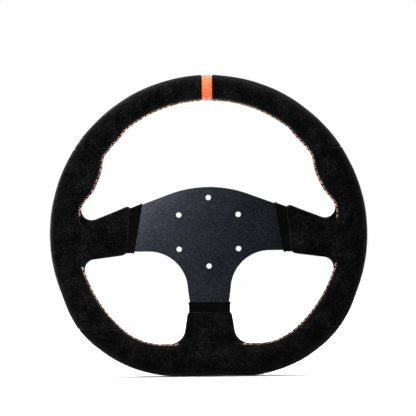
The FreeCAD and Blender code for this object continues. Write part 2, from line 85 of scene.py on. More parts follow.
# points (x, z) of the right arm's outline, and the slope of its top
SIDE_LIP_TOP = (79.4, 28.3)
SIDE_LIP_LOW = (84.4, -21.7)
SIDE_BEVEL_LOW = (79.4, 24.7)
SIDE_BEVEL_TOP = (82.7, 27.1)
SIDE_TOP_SLOPE = 0.40
SIDE_TOP_AT = (115.0, 14.1)
SIDE_KNEE = (88.6, -23.2)
SIDE_LOW_AT = (114.7, -26.5)
SIDE_SEAM_X = 131.2
SIDE_ARM_END_X = 146.0
# the same of the bottom arm's right half
BOTTOM_LIP_Z = -82.0
BOTTOM_LIP_HALF = 22.3
BOTTOM_LIP_CORNER_R = 2.8
BOTTOM_KNEE = (23.7, -90.0)
BOTTOM_LOW_AT = (25.1, -99.0)
BOTTOM_SEAM_Z = -116.0
BOTTOM_ARM_END_Z = -131.0
# fillets between the arms and the rim: seen from the front, and on their faces
SIDE_FILLET_LOW = 13.0
SIDE_FILLET_TOP = 16.0
BOTTOM_FILLET = 13.5
FACE_FILLET = 9.0

# ---------------------------------------------------------------- moulded lips between plate and sleeves
band_low, band_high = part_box("spoke_end_band_right")
bottom_band_low, bottom_band_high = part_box("spoke_end_band_bottom")
BAND_HALF = (band_high.y - band_low.y) / 2 / MM
BAND_METAL_TOP = (band_low.x / MM, band_high.z / MM)
BAND_METAL_LOW = (76.1, band_low.z / MM)
BAND_OUTER_TOP = (82.4, 24.0)
BAND_OUTER_LOW = (band_high.x / MM, band_low.z / MM)
BAND_EDGE_R = 1.3
BAND_END_R = 0.6
BEAD_HEIGHT = 0.45                  # bead along the lip's edge on the metal
BEAD_HALF = 0.9

# ---------------------------------------------------------------- seams, stitches and relief
SUEDE_SHARE = 0.9                   # inner wall of a rim panel, as a share of its section
SEAM_PHASE = math.radians(203)      # closing seam round the section, from outermost towards the driver
LOW_SEAM_TURN = math.radians(5)     # below the spokes the seam lies this much nearer the innermost line
SEAM_DEPTH = 0.75
PRESSED_SEAM_DEPTH = 0.20           # round the bottom sleeve, which is pressed almost flush
SEAM_HALF = 0.75
SEAM_RIDGE = 0.12                   # height of the low ridges beside the seam, and where they lie
SEAM_RIDGE_AT = 3.4
STITCH_DENT = 0.22
PANEL_JOINT_DEPTH = 0.60            # groove between two panels, with a low ridge on each side
PANEL_JOINT_HALF = 0.8
PANEL_RIDGE = 0.18
PANEL_RIDGE_AT = 2.4
TUCK = 0.07                         # under a sleeve a panel is drawn in by this share of its radius
PADDING_WAVES = ((0.22, 24.0, 3), (0.10, 9.0, 4))  # height, size and seed of each noise
RIGHT_SWELL = 0.9                   # extra fullness beside the lower seams
LEFT_SWELL = 1.5
LOW_SWELL_HALF = 24.0
# openings in the rim's suede at the spokes: middle angle and half-length along the rim (degrees),
# the seam's extra turn in front, and the opening's full span round to the rear
OPENINGS = {
    "right": (-3.0, 15.0, 5.3, 52.0),
    "left": (183.0, 15.0, 5.3, 52.0),
    "bottom": (-90.0, 18.5, 11.0, 62.0),
}
OPENING_START = 12.0                # span at an opening's ends
# creases in the sleeves: depth, start (x, z), end (x, z), half-width
CREASES = {
    "right": (
        (0.55, (88.0, -9.5), (124.0, -8.0), 0.8),
        (0.3, (118.0, 2.0), (128.0, -6.0), 1.0),
    ),
    "left": (
        (0.45, (-116.0, -10.5), (-97.0, -10.5), 0.8),
        (0.45, (-118.0, -15.0), (-95.0, -14.6), 0.8),
    ),
    "bottom": ((0.3, (8.0, -92.0), (6.5, -106.0), 0.9),),
}
# where a sleeve's suede is gathered into small pleats: centre (x, z), reach
GATHERS = {
    "right": ((126.0, -8.0), 6.0),
    "left": ((-125.0, -12.0), 6.0),
    "bottom": ((1.0, -113.0), 6.5),
}
GATHER_HEIGHT = 0.4
GATHER_PLEATS = 7
STITCH_PITCH = 5.6
STITCH_REACH = 1.1                  # how far a stitch goes to each side of the seam
STITCH_START = 0.08                 # start and length of a stitch, as shares of the pitch
STITCH_LENGTH = 0.72
STITCH_SINK = 0.55                  # its ends lie this deep in the suede
STITCH_ARCH = 0.60
STITCH_LIFTS = (0.25, 0.75)         # the second stitch of a cross lies over the first
THREAD_R = 0.28
# runs of stitches: first and last angle in degrees, and the CAD node
STITCH_RUNS = {
    "thread_upper": (5.0, 175.0, "stitch_upper"),
    "thread_lower_right": (-75.5, -13.0, "stitch_lower_right"),
    "thread_lower_left": (193.0, 255.5, "stitch_lower_left"),
}

# ---------------------------------------------------------------- fineness of the meshes
PANEL_COLUMNS = 120
TOP_ROWS, SIDE_ROWS, BOTTOM_ROWS, MARKER_ROWS = 150, 230, 270, 26
THREAD_SIDES = 8
STITCH_POINTS = 13
SLEEVE_STEP = 0.75
BAND_STEP = 0.45
# boxes that hold the sleeves and the lips: low corner, high corner
SLEEVE_BOXES = {
    "right": ((76.0, -15.0, -52.0), (141.0, 11.0, 34.0)),
    "left": ((-141.0, -15.0, -52.0), (-76.0, 11.0, 34.0)),
    "bottom": ((-46.0, -15.0, -126.0), (46.0, 11.0, -79.0)),
}
BAND_BOXES = {
    "right": ((65.0, -7.0, -23.0), (91.0, 3.0, 31.0)),
    "left": ((-91.0, -7.0, -23.0), (-65.0, 3.0, 31.0)),
    "bottom": ((-24.0, -7.0, -87.0), (24.0, 3.0, -70.0)),
}
LATTICE = 32                        # points along a side of the noise's repeating cube
# steps of the searches for a place on a surface
HALVINGS = 24
PHASE_ROUNDS = 3
CROSSING_ROUNDS = 12
NET_ROUNDS = 3

# ---------------------------------------------------------------- stage, in metres
FLOOR_REACH = 1.05
FLOOR_MIDDLE_Y = 0.45               # most of the floor lies behind the wheel
FLOOR_SIDES = 96
FLOOR_Z = cad_low.z - 0.0003        # a hair under the wheel
LOW_ROOM_LIGHT = 0.025              # how brightly the white room lights the wheel from its own level
ROOM_LIGHT = 0.30                   # and from above
# soft boxes: place, aim, size, watts
LIGHTS = {
    "top_softbox": ((0.05, 0.15, 1.2), (0, 0.15, 0), (1.0, 1.4), 52.0),
    "far_softbox": ((0.0, 0.9, 1.6), (0, 1.0, 0), (2.5, 1.2), 40.0),
    "upper_softbox": ((-0.10, -0.22, 0.36), (-0.03, 0, 0.12), (0.14, 0.14), 1.5),
    "left_softbox": ((-0.165, -0.50, 0.10), (-0.05, 0, 0), (0.08, 0.08), 4.4),
}
CAMERA_ROLL = math.radians(0.69)    # the wheel stands turned by this much
CAMERA_TILT = math.radians(2.5)     # the camera looks down by this much
CAMERA_DISTANCE = 4.8
FRAME_WIDTH = 0.4247
SENSOR_WIDTH = 36.0                 # millimetres, as Blender has it
AIM_RIGHT, AIM_UP = -0.00066, 0.0242


def smooth_step(low, high, value):
    """0 at low, 1 at high, and a smooth rise between."""
    t = np.clip((value - low) / (high - low), 0.0, 1.0)
    return t * t * (3 - 2 * t)


def bell(value, width):
    """1 where the value is 0, fading over this width."""
    return np.exp(-(value / width) ** 2)


def on_circle(circle, angle):
    """Point of a circle in a direction from its centre."""
    cx, cz, r = circle
    return cx + r * math.cos(angle), cz + r * math.sin(angle)


def circle_reach(circle, angle):
    """Distance from the origin to the far side of a circle."""
    cx, cz, r = circle
    along = cx * np.cos(angle) + cz * np.sin(angle)
    return along + np.sqrt(np.maximum(along**2 - cx**2 - cz**2 + r**2, 0.0))


def outline_reach(angle, main, corner):
    """Distance from the origin to a D-shaped outline, for angles folded to the right half."""
    dx, dz = corner[0] - main[0], corner[1] - main[1]
    swing = math.acos(min(1.0, (main[2] - corner[2]) / math.hypot(dx, dz)))
    normal = math.atan2(dz, dx) + swing
    main_x, main_z = on_circle(main, normal)
    corner_x, corner_z = on_circle(corner, normal)
    flat_z = corner[1] - corner[2]
    line = (main_x * math.cos(normal) + main_z * math.sin(normal)) / np.cos(angle - normal)
    reach = np.where(angle >= math.atan2(main_z, main_x), circle_reach(main, angle), line)
    reach = np.where(angle >= math.atan2(corner_z, corner_x), reach, circle_reach(corner, angle))
    below = angle < math.atan2(flat_z, corner[0])
    return np.where(below, flat_z / np.minimum(np.sin(angle), -0.1), reach)


def rim_section(angle):
    """Middle distance and half-width of the rim's oval section, at any angle round the wheel."""
    folded = np.arctan2(np.sin(angle), np.abs(np.cos(angle)))
    outer = outline_reach(folded, OUTER_MAIN, OUTER_CORNER)
    inner = outline_reach(folded, INNER_MAIN, INNER_CORNER)
    degrees = np.degrees(folded)
    for height, centre, half_width, sharpness in (THUMB_GRIP, UPPER_GRIP, SPOKE_SWELL):
        inner = inner - height * np.exp(-np.abs((degrees - centre) / half_width) ** sharpness)
    return (inner + outer) / 2, (outer - inner) / 2


def rim_normal(angle, phase):
    """Direction straight out of the rim's oval surface."""
    _, half = rim_section(angle)
    out, depth = np.cos(phase) / half, np.sin(phase) / HALF_DEPTH
    size = np.hypot(out, depth)
    return np.stack([out * np.cos(angle), depth, out * np.sin(angle)], -1) / size[..., None]


def rim_point(angle, phase, share=1.0):
    """A point of the rim: share 1 is the oval's surface and 0 its centre."""
    middle, half = rim_section(angle)
    out = middle + share * half * np.cos(phase)
    depth = MID_Y + share * HALF_DEPTH * np.sin(phase)
    return np.stack([out * np.cos(angle), depth, out * np.sin(angle)], -1)


# ---------------------------------------------------------------- seeded noise
def lattice(seed):
    """Random values from -1 to 1 at the points of a repeating cube."""
    return np.random.default_rng(seed).random((LATTICE, LATTICE, LATTICE)) * 2 - 1


def noise(points, size, seed):
    """Smooth noise from -1 to 1 with features of this size."""
    table = lattice(seed)
    q = points / size + 100.0
    base = np.floor(q).astype(int)
    t = q - base
    t = t * t * (3 - 2 * t)
    total = 0.0
    for corner in np.ndindex(2, 2, 2):
        weight = 1.0
        for axis in range(3):
            weight = weight * (t[..., axis] if corner[axis] else 1 - t[..., axis])
        i = (base + np.array(corner)) % LATTICE
        total = total + weight * table[i[..., 0], i[..., 1], i[..., 2]]
    return total


# ---------------------------------------------------------------- distances
def round_union(a, b, r):
    """Joins two solids' distances with a fillet of radius r."""
    return np.maximum(r, np.minimum(a, b)) - np.hypot(np.maximum(r - a, 0), np.maximum(r - b, 0))


def round_common(a, b, r):
    """Intersects two solids' distances with a rounded edge of radius r."""
    return np.minimum(-r, np.maximum(a, b)) + np.hypot(np.maximum(r + a, 0), np.maximum(r + b, 0))


def beside_line(x, z, start, end):
    """Distance to the left of the line from start to end."""
    dx, dz = end[0] - start[0], end[1] - start[1]
    return (dx * (z - start[1]) - dz * (x - start[0])) / math.hypot(dx, dz)


def tube_distance(points):
    """Distance to the rim's oval tube."""
    x, y, z = points[..., 0], points[..., 1], points[..., 2]
    middle, half = rim_section(np.arctan2(z, x))
    u = (np.hypot(x, z) - middle) / half
    v = (y - MID_Y) / HALF_DEPTH
    e = np.maximum(np.hypot(u, v), 1e-3)
    return (e - 1) * e / np.hypot(u / half, v / HALF_DEPTH)


def arm_half(share):
    """Half the depth of an arm, at this share of its way from lip to rim."""
    return ARM_LIP_HALF + (ARM_RIM_HALF - ARM_LIP_HALF) * share


def side_slab(points):
    """Padded arm on the right and, mirrored, on the left, running on into the rim."""
    x, y, z = np.abs(points[..., 0]), points[..., 1], points[..., 2]
    top_start = (SIDE_TOP_AT[0] - 1, SIDE_TOP_AT[1] + SIDE_TOP_SLOPE)
    top = beside_line(x, z, top_start, SIDE_TOP_AT)
    low = beside_line(x, z, SIDE_KNEE, SIDE_LIP_LOW)
    low = np.maximum(low, beside_line(x, z, SIDE_LOW_AT, SIDE_KNEE))
    low = np.maximum(low, x - SIDE_ARM_END_X)
    lip = beside_line(x, z, SIDE_LIP_LOW, SIDE_LIP_TOP)
    lip = np.maximum(lip, beside_line(x, z, SIDE_BEVEL_LOW, SIDE_BEVEL_TOP))
    half = arm_half(smooth_step(SIDE_LIP_TOP[0], SIDE_SEAM_X, x))
    body = round_common(np.maximum(top, low), np.abs(y - MID_Y) - half, ARM_EDGE_R)
    return round_common(body, lip, LIP_EDGE_R)


def bottom_slab(points):
    """Padded arm at the bottom, running on into the rim."""
    x, y, z = np.abs(points[..., 0]), points[..., 1], points[..., 2]
    side = beside_line(x, z, (BOTTOM_LIP_HALF, BOTTOM_LIP_Z), BOTTOM_KNEE)
    side = np.maximum(side, beside_line(x, z, BOTTOM_KNEE, BOTTOM_LOW_AT))
    side = np.maximum(side, BOTTOM_ARM_END_Z - z)
    lip = z - BOTTOM_LIP_Z
    half = arm_half(smooth_step(BOTTOM_LIP_Z, BOTTOM_SEAM_Z, z))
    corner = round_common(side, lip, BOTTOM_LIP_CORNER_R)
    body = round_common(side, np.abs(y - MID_Y) - half, ARM_EDGE_R)
    return np.maximum(round_common(body, lip, LIP_EDGE_R), corner)


def padded_distance(points):
    """Distance to the whole padded body: rim and spoke arms with fillets between them."""
    tube = tube_distance(points)
    deep = smooth_step(2.0, 8.0, np.abs(points[..., 1] - MID_Y))  # 0 at mid-depth, 1 on the faces
    above = smooth_step(-20.0, 4.0, points[..., 2])
    side_fillet = SIDE_FILLET_LOW + (SIDE_FILLET_TOP - SIDE_FILLET_LOW) * above
    side = round_union(tube, side_slab(points), side_fillet + (FACE_FILLET - side_fillet) * deep)
    bottom_fillet = BOTTOM_FILLET + (FACE_FILLET - BOTTOM_FILLET) * deep
    bottom = round_union(tube, bottom_slab(points), bottom_fillet)
    return np.minimum(side, bottom)


# ---------------------------------------------------------------- where the sleeves meet the rim
def opening_share(angle, name):
    """1 in the middle of a spoke's opening in the rim's suede, 0 at its ends, below 0 past them."""
    middle, half_length, _, _ = OPENINGS[name]
    away = (np.degrees(angle) - middle + 180.0) % 360.0 - 180.0
    return 1 - np.abs(away / half_length) ** 3


def seam_phase(angle):
    """Where the rim's closing seam lies round the section."""
    extra = 0.0
    for name, (_, _, turn, _) in OPENINGS.items():
        extra = extra + turn * smooth_step(0.0, 0.8, opening_share(angle, name))
    below = smooth_step(0.15, 0.45, -np.sin(angle))
    return SEAM_PHASE + np.radians(extra) - LOW_SEAM_TURN * below


def opening_span(angle):
    """How far the opening reaches from the seam round to the rear, in radians."""
    span = OPENING_START
    for name, (_, _, _, full) in OPENINGS.items():
        share = np.maximum(opening_share(angle, name), 0.0)
        span = span + (full - OPENING_START) * share ** 0.5
    return np.radians(span)


def in_opening(angle):
    """Whether an angle lies in any spoke's opening."""
    inside = np.zeros(np.shape(angle), bool)
    for name in OPENINGS:
        inside |= opening_share(angle, name) > 0
    return inside


# ---------------------------------------------------------------- mesh building
def make_piece(name, points, quads, material, replaced):
    """Smooth mesh from points in millimetres and four-cornered faces, in place of a CAD piece."""
    mesh = bpy.data.meshes.new(name)
    mesh.vertices.add(len(points))
    mesh.vertices.foreach_set("co", (points * MM).astype(np.float32).ravel())
    mesh.loops.add(4 * len(quads))
    mesh.loops.foreach_set("vertex_index", quads.astype(np.int32).ravel())
    mesh.polygons.add(len(quads))
    mesh.polygons.foreach_set("loop_start", np.arange(0, 4 * len(quads), 4, dtype=np.int32))
    mesh.polygons.foreach_set("use_smooth", np.ones(len(quads), bool))
    mesh.update(calc_edges=True)
    mesh.validate()
    mesh.materials.append(material)
    piece = bpy.data.objects.new(name, mesh)
    bpy.context.scene.collection.objects.link(piece)
    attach(piece, "root")
    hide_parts(*replaced)
    return piece


def grid_quads(rows, columns, close_rows):
    """Faces of a grid whose columns close on themselves, and whose rows may."""
    r = np.arange(rows if close_rows else rows - 1)
    c = np.arange(columns)
    r, c = np.meshgrid(r, c, indexing="ij")
    r2, c2 = (r + 1) % rows, (c + 1) % columns
    corners = [r * columns + c, r * columns + c2, r2 * columns + c2, r2 * columns + c]
    return np.stack([k.ravel() for k in corners], -1)


def net_points(value, grid, step):
    """Mean crossing of every cell that the surface passes through, and the numbers of those cells."""
    cells = tuple(n - 1 for n in value.shape)
    total = np.zeros(cells + (3,))
    count = np.zeros(cells)
    for axis in range(3):
        first = [slice(None)] * 3
        second = [slice(None)] * 3
        first[axis], second[axis] = slice(0, -1), slice(1, None)
        a, b = value[tuple(first)], value[tuple(second)]
        crossing = (a < 0) != (b < 0)
        t = np.where(crossing, a / np.where(crossing, a - b, 1.0), 0.0)
        place = grid[tuple(first)].copy()
        place[..., axis] += t * step
        others = [k for k in range(3) if k != axis]
        for offset in ((0, 0), (0, 1), (1, 0), (1, 1)):
            cut = [slice(None)] * 3
            for k, o in zip(others, offset):
                cut[k] = slice(o, o + cells[k])
            total += np.where(crossing[tuple(cut)][..., None], place[tuple(cut)], 0.0)
            count += crossing[tuple(cut)]
    used = count > 0
    index = np.full(cells, -1)
    index[used] = np.arange(used.sum())
    return total[used] / count[used][:, None], index


def net_quads(value, index):
    """One face across every grid edge that the surface crosses."""
    quads = []
    for axis in range(3):
        first = [slice(1, -1)] * 3
        second = [slice(1, -1)] * 3
        first[axis], second[axis] = slice(0, -1), slice(1, None)
        a, b = value[tuple(first)] < 0, value[tuple(second)] < 0
        where = np.argwhere(a != b)
        inside_first = a[tuple(where.T)]
        for k in range(3):
            if k != axis:
                where[:, k] += 1
        u, v = [(1, 2), (2, 0), (0, 1)][axis]
        ring = []
        for du, dv in ((1, 1), (0, 1), (0, 0), (1, 0)):
            cell = where.copy()
            cell[:, u] -= du
            cell[:, v] -= dv
            ring.append(index[tuple(cell.T)])
        ring = np.stack(ring, -1)
        ring[~inside_first] = ring[~inside_first][:, ::-1]
        quads.append(ring)
    return np.concatenate(quads)


def surface_net(distance, low, high, step):
    """Points and faces of the surface where distance is 0, inside a box."""
    axes = [np.arange(a, b + step, step) for a, b in zip(low, high)]
    grid = np.stack(np.meshgrid(*axes, indexing="ij"), -1)
    value = distance(grid)
    points, index = net_points(value, grid, step)
    return pull_to_surface(points, distance, step), net_quads(value, index)


def pull_to_surface(points, distance, step):
    """Moves each point of a net onto the surface along its slope."""
    start = points.copy()
    h = 0.15 * step
    for _ in range(NET_ROUNDS):
        value = distance(points)
        slope = np.zeros_like(points)
        for axis in range(3):
            shift = np.zeros(3)
            shift[axis] = h
            slope[:, axis] = (distance(points + shift) - distance(points - shift)) / (2 * h)
        length = np.maximum((slope**2).sum(-1), 0.2)
        points = points - 0.8 * (value / length)[:, None] * slope
        points = start + np.clip(points - start, -0.6 * step, 0.6 * step)
    return points


# ---------------------------------------------------------------- materials
def new_material(name):
    """Empty Principled material, with its node tree, shader and object coordinates."""
    material = bpy.data.materials.new(name)
    material.use_nodes = True
    tree = material.node_tree
    shader = tree.nodes["Principled BSDF"]
    place = tree.nodes.new("ShaderNodeTexCoord").outputs["Object"]
    return material, tree, shader, place


def scaled(tree, place, scale):
    """Coordinates stretched by a scale for each axis."""
    mapping = tree.nodes.new("ShaderNodeMapping")
    mapping.inputs["Scale"].default_value = scale
    tree.links.new(place, mapping.inputs["Vector"])
    return mapping.outputs["Vector"]


def noise_node(tree, vector, scale, detail, rough):
    node = tree.nodes.new("ShaderNodeTexNoise")
    node.inputs["Scale"].default_value = scale
    node.inputs["Detail"].default_value = detail
    node.inputs["Roughness"].default_value = rough
    tree.links.new(vector, node.inputs["Vector"])
    return node.outputs["Fac"]


def ramp(tree, value, low, high, dark, light):
    """Colour between dark and light as the value goes from low to high."""
    node = tree.nodes.new("ShaderNodeValToRGB")
    node.color_ramp.elements[0].position = low
    node.color_ramp.elements[1].position = high
    node.color_ramp.elements[0].color = (*dark, 1)
    node.color_ramp.elements[1].color = (*light, 1)
    tree.links.new(value, node.inputs["Fac"])
    return node.outputs["Color"]


def spread(tree, value, low, high):
    """Noise turned into a range of roughness."""
    node = tree.nodes.new("ShaderNodeMapRange")
    node.inputs["From Min"].default_value = 0.3
    node.inputs["From Max"].default_value = 0.7
    node.inputs["To Min"].default_value = low
    node.inputs["To Max"].default_value = high
    tree.links.new(value, node.inputs["Value"])
    return node.outputs["Result"]


def mix_values(tree, first, second, share):
    """Weighted mean of two noises, with this share of the second."""
    node = tree.nodes.new("ShaderNodeMix")
    node.inputs["Factor"].default_value = share
    tree.links.new(first, node.inputs["A"])
    tree.links.new(second, node.inputs["B"])
    return node.outputs["Result"]


def add_colours(tree, first, second):
    node = tree.nodes.new("ShaderNodeMix")
    node.data_type = "RGBA"
    node.blend_type = "ADD"
    node.inputs["Factor"].default_value = 1.0
    tree.links.new(first, node.inputs["A"])
    tree.links.new(second, node.inputs["B"])
    return node.outputs["Result"]


def bump(tree, shader, height, strength, distance):
    node = tree.nodes.new("ShaderNodeBump")
    node.inputs["Strength"].default_value = strength
    node.inputs["Distance"].default_value = distance
    tree.links.new(height, node.inputs["Height"])
    tree.links.new(node.outputs["Normal"], shader.inputs["Normal"])


def suede_material(name, dark, light, painted_glint_colour, sheen, tint):
    """Brushed nap: patches stroked one way or the other, faint streaks, and painted glints: sparse
    lighter specks added to the base colour where fibres would catch the light.
    """
    material, tree, shader, place = new_material(name)
    patches = noise_node(tree, place, 70.0, 4.0, 0.6)
    streaks = noise_node(tree, scaled(tree, place, (260.0, 260.0, 60.0)), 1.0, 3.0, 0.6)
    tufts = noise_node(tree, place, 520.0, 2.0, 0.6)
    fibres = noise_node(tree, place, 1700.0, 2.0, 0.7)
    nap = mix_values(tree, mix_values(tree, patches, streaks, 0.3), tufts, 0.35)
    base = ramp(tree, nap, 0.42, 0.60, dark, light)
    # painted glints: sparse lighter specks in the base colour, standing for fibres that catch the light
    painted_glint = ramp(tree, mix_values(tree, tufts, patches, 0.35), 0.54, 0.68, (0, 0, 0), painted_glint_colour)
    tree.links.new(add_colours(tree, base, painted_glint), shader.inputs["Base Color"])
    tree.links.new(spread(tree, patches, 0.86, 1.0), shader.inputs["Roughness"])
    shader.inputs["Specular IOR Level"].default_value = 0.015
    shader.inputs["Sheen Weight"].default_value = sheen
    shader.inputs["Sheen Roughness"].default_value = 0.3
    shader.inputs["Sheen Tint"].default_value = (*tint, 1)
    height = mix_values(tree, mix_values(tree, fibres, streaks, 0.3), tufts, 0.5)
    bump(tree, shader, height, 0.8, 0.0012)
    return material


def plate_material():
    """Black anodised aluminium with fine brushing along X."""
    material, tree, shader, place = new_material("anodised_plate")
    brushing = noise_node(tree, scaled(tree, place, (230.0, 230.0, 1900.0)), 1.0, 3.0, 0.75)
    scratches = noise_node(tree, scaled(tree, place, (600.0, 600.0, 1100.0)), 1.0, 2.0, 0.6)
    cloud = noise_node(tree, place, 28.0, 3.0, 0.55)
    lines = mix_values(tree, brushing, scratches, 0.5)
    tone = mix_values(tree, cloud, lines, 0.75)
    colour = ramp(tree, tone, 0.38, 0.64, (0.0079, 0.0085, 0.0115), (0.0225, 0.0240, 0.0310))
    tree.links.new(colour, shader.inputs["Base Color"])
    tree.links.new(spread(tree, lines, 0.23, 0.30), shader.inputs["Roughness"])
    shader.inputs["Metallic"].default_value = 1.0
    bump(tree, shader, lines, 0.2, 0.00005)
    return material


def metal_material(name, dark, light, roughness):
    """Bare steel with a fine grain."""
    material, tree, shader, place = new_material(name)
    grain = noise_node(tree, place, 400.0, 3.0, 0.6)
    tree.links.new(ramp(tree, grain, 0.3, 0.7, dark, light), shader.inputs["Base Color"])
    rough = spread(tree, grain, roughness - 0.08, roughness + 0.08)
    tree.links.new(rough, shader.inputs["Roughness"])
    shader.inputs["Metallic"].default_value = 1.0
    bump(tree, shader, grain, 0.1, 0.0002)
    return material


def moulded_material(name, dark, light, roughness, grain_scale, gloss):
    """Smooth rubber or foam with a fine moulded grain."""
    material, tree, shader, place = new_material(name)
    grain = noise_node(tree, place, grain_scale, 2.0, 0.6)
    cloud = noise_node(tree, place, 60.0, 3.0, 0.5)
    tree.links.new(ramp(tree, cloud, 0.3, 0.7, dark, light), shader.inputs["Base Color"])
    tree.links.new(spread(tree, cloud, *roughness), shader.inputs["Roughness"])
    shader.inputs["Specular IOR Level"].default_value = gloss
    bump(tree, shader, grain, 0.3, 0.0003)
    return material


def thread_material():
    """Orange thread, its colour running from dark brown to pale orange: partly the fine tone of its
    plies, partly painted shade and painted highlight in patches along it.
    """
    material, tree, shader, place = new_material("thread")
    plies = noise_node(tree, place, 2400.0, 2.0, 0.5)
    # painted shade and painted highlight: patches along the thread made darker or lighter
    painted_shade_and_highlight = noise_node(tree, place, 180.0, 2.0, 0.5)
    tone = mix_values(tree, painted_shade_and_highlight, plies, 0.4)
    # the dark end is painted shade and the light end painted highlight, mixed with the plies' own tone
    colour = ramp(tree, tone, 0.42, 0.60, (0.07, 0.016, 0.006), (0.54, 0.26, 0.145))
    tree.links.new(colour, shader.inputs["Base Color"])
    tree.links.new(spread(tree, plies, 0.55, 0.75), shader.inputs["Roughness"])
    shader.inputs["Sheen Weight"].default_value = 0.3
    bump(tree, shader, plies, 0.4, 0.0002)
    return material


suede = suede_material(
    "suede",
    dark=(0.0002, 0.0002, 0.0002),
    light=(0.0019, 0.0019, 0.0020),
    # colour of the painted glints: lighter specks where fibres would catch the light
    painted_glint_colour=(0.0040, 0.0040, 0.0040),
    sheen=0.14,
    tint=(0.5, 0.5, 0.52),
)
marker_suede = suede_material(
    "marker_suede",
    dark=(0.80, 0.046, 0.016),
    light=(0.95, 0.090, 0.038),
    # colour of the painted glints: lighter specks where fibres would catch the light
    painted_glint_colour=(0.0, 0.02, 0.015),
    sheen=1.0,
    tint=(1.0, 0.9, 0.78),
)
plate_metal = plate_material()
frame_steel = metal_material("frame_steel", (0.35, 0.35, 0.36), (0.5, 0.5, 0.51), roughness=0.45)
rivet_steel = metal_material("rivet_steel", (0.55, 0.55, 0.56), (0.7, 0.7, 0.7), roughness=0.3)
edge_lip = moulded_material(
    "edge_lip",
    dark=(0.0003, 0.0003, 0.0003),
    light=(0.0014, 0.0014, 0.0015),
    roughness=(0.7, 0.9),
    grain_scale=600.0,
    gloss=0.012,
)
foam = moulded_material(
    "foam",
    dark=(0.02, 0.02, 0.02),
    light=(0.035, 0.035, 0.035),
    roughness=(0.8, 0.95),
    grain_scale=500.0,
    gloss=0.3,
)
thread = thread_material()


# ---------------------------------------------------------------- relief of the suede
seam_angles = np.linspace(-math.pi / 2, 3 * math.pi / 2, 7201)
seam_line = rim_point(seam_angles, seam_phase(seam_angles))
seam_lengths = np.concatenate([[0], np.cumsum(np.linalg.norm(np.diff(seam_line, axis=0), axis=1))])


def along_seam(angle):
    """Length along the closing seam from the bottom of the wheel, in millimetres."""
    turned = (angle + math.pi / 2) % (2 * math.pi) - math.pi / 2
    return np.interp(turned, seam_angles, seam_lengths)


def groove_depth(angle):
    """Depth of the closing seam: the bottom sleeve is pressed almost flush into the rim's suede."""
    pressed = smooth_step(0.0, 0.4, opening_share(angle, "bottom"))
    return SEAM_DEPTH - (SEAM_DEPTH - PRESSED_SEAM_DEPTH) * pressed


def seam_relief(angle, phase, radius):
    """Groove of the closing seam, a low ridge on each side, and the dents its stitches pull in."""
    side = (phase - seam_phase(angle) + math.pi) % (2 * math.pi) - math.pi
    across = side * radius
    groove = -groove_depth(angle) * bell(across, SEAM_HALF)
    ridges = SEAM_RIDGE * bell(np.abs(across) - SEAM_RIDGE_AT, 1.4)
    stitches = 0.5 - 0.5 * np.cos(2 * math.pi * along_seam(angle) / STITCH_PITCH)
    pull = -STITCH_DENT * bell(np.abs(across) - STITCH_REACH, 1.1) * (1 - stitches)
    return groove + ridges + pull


def low_seam_swell(points):
    """Fuller padding on the rim's outer side, about the two lower seams and more on the left."""
    x, z = points[..., 0], points[..., 2]
    fullness = RIGHT_SWELL + (LEFT_SWELL - RIGHT_SWELL) * smooth_step(-40.0, 40.0, -x)
    outer_side = smooth_step(132.0, 146.0, np.hypot(x, z))
    above_bottom = smooth_step(-128.0, -112.0, z)
    return fullness * outer_side * bell(z - LOW_SEAM_Z, LOW_SWELL_HALF) * above_bottom


def padding_relief(points):
    """Hand-wrapped unevenness of the suede."""
    relief = low_seam_swell(points)
    for height, size, seed in PADDING_WAVES:
        relief = relief + height * noise(points, size, seed)
    return relief


# ---------------------------------------------------------------- rim panels
def panel_columns(count):
    """Shares of a full turn round the section, closer together beside the seam."""
    s = np.linspace(0, 1, count, endpoint=False)
    return s - 0.8 * np.sin(2 * math.pi * s) / (2 * math.pi)


def phases_at(angle, shares):
    """Phase of every column: one column stays on the seam and one on the opening's rear edge."""
    span = opening_span(angle) / (2 * math.pi)
    kept = 1 - math.radians(OPENING_START) / (2 * math.pi)
    turned = np.where(
        shares < kept,
        shares / kept * (1 - span),
        1 - (1 - shares) / (1 - kept) * span,
    )
    return seam_phase(angle) + 2 * math.pi * turned, turned > 1 - span + 1e-9


def reach_padding(angle, phase):
    """Share of the oval at which a ray from its centre leaves the padded body."""
    low = np.ones(np.shape(angle))
    behind_seam = (seam_phase(angle) - phase) % (2 * math.pi)
    in_wedge = (behind_seam > 0) & (behind_seam < opening_span(angle))
    high = np.where(in_wedge, 1.15, 2.4)  # inside an opening, never far out into the arm
    for _ in range(HALVINGS):
        mid = (low + high) / 2
        inside = padded_distance(rim_point(angle, phase, mid)) < 0
        low = np.where(inside, mid, low)
        high = np.where(inside, high, mid)
    return low


